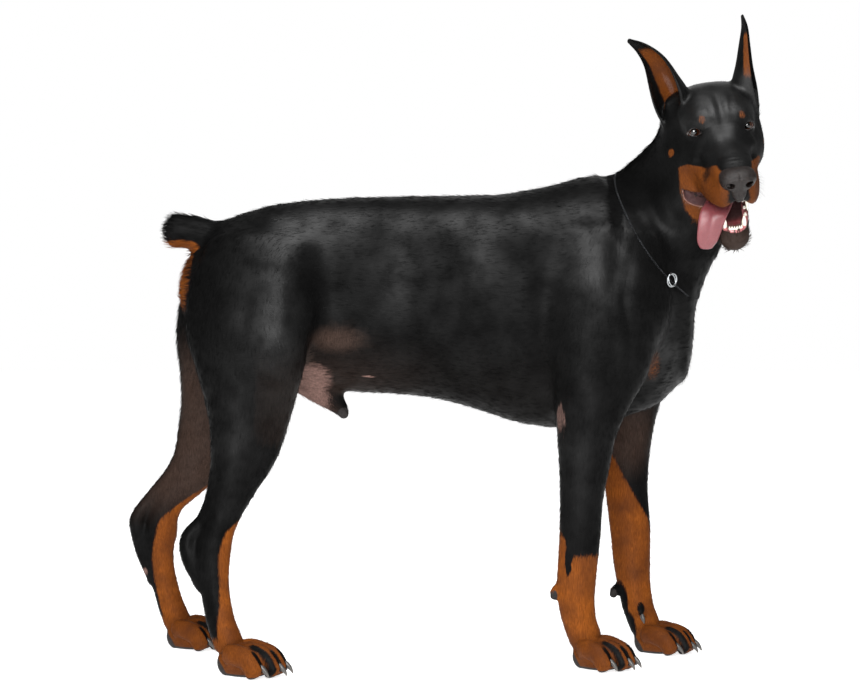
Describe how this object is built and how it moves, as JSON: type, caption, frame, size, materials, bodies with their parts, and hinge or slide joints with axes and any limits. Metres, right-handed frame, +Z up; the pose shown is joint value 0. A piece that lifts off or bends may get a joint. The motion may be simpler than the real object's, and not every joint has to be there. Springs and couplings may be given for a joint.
{
  "type": "doberman pinscher, standing, life size",
  "caption": "Standing short-coated dog with cropped ears and docked tail, head turned to its right, mouth open, a thin chain round the neck; a still model.",
  "frame": {"origin": "on the floor, under the middle of the outer box", "axes": "+X to where the body faces, +Y to the dog's left, +Z up"},
  "size_m": [0.947, 0.3694, 0.9454],
  "materials": {
    "coat": "short glossy fur, black with rust markings",
    "nose": "moist, pebbled",
    "eye": "wet, dark brown iris",
    "tongue": "moist, pink",
    "tooth": "enamel",
    "claw": "dark horn",
    "steel": "polished chain"
  },
  "bodies": {
    "root": {"head": "coat", "lower_jaw": "coat", "neck": "coat", "chest": "coat", "barrel": "coat", "rump": "coat", "tail": "coat", "ear_left": "coat", "ear_right": "coat", "forearm_left": "coat", "forearm_right": "coat", "thigh_left": "coat", "thigh_right": "coat", "hock_left": "coat", "hock_right": "coat", "paw_fore_left": "coat", "paw_fore_right": "coat", "paw_hind_left": "coat", "paw_hind_right": "coat", "nose": "nose", "eye_left": "eye", "eye_right": "eye", "tongue": "tongue", "lower_teeth": "tooth", "upper_canine_left": "tooth", "upper_canine_right": "tooth", "claw_fore_left_1": "claw", "claw_fore_left_2": "claw", "claw_fore_left_3": "claw", "claw_fore_left_4": "claw", "claw_fore_left_5": "claw", "claw_fore_right_1": "claw", "claw_fore_right_2": "claw", "claw_fore_right_3": "claw", "claw_fore_right_4": "claw", "claw_fore_right_5": "claw", "claw_hind_left_1": "claw", "claw_hind_left_2": "claw", "claw_hind_left_3": "claw", "claw_hind_left_4": "claw", "claw_hind_right_1": "claw", "claw_hind_right_2": "claw", "claw_hind_right_3": "claw", "claw_hind_right_4": "claw", "collar_chain": "steel", "collar_ring": "steel"}
  },
  "joints": []
}
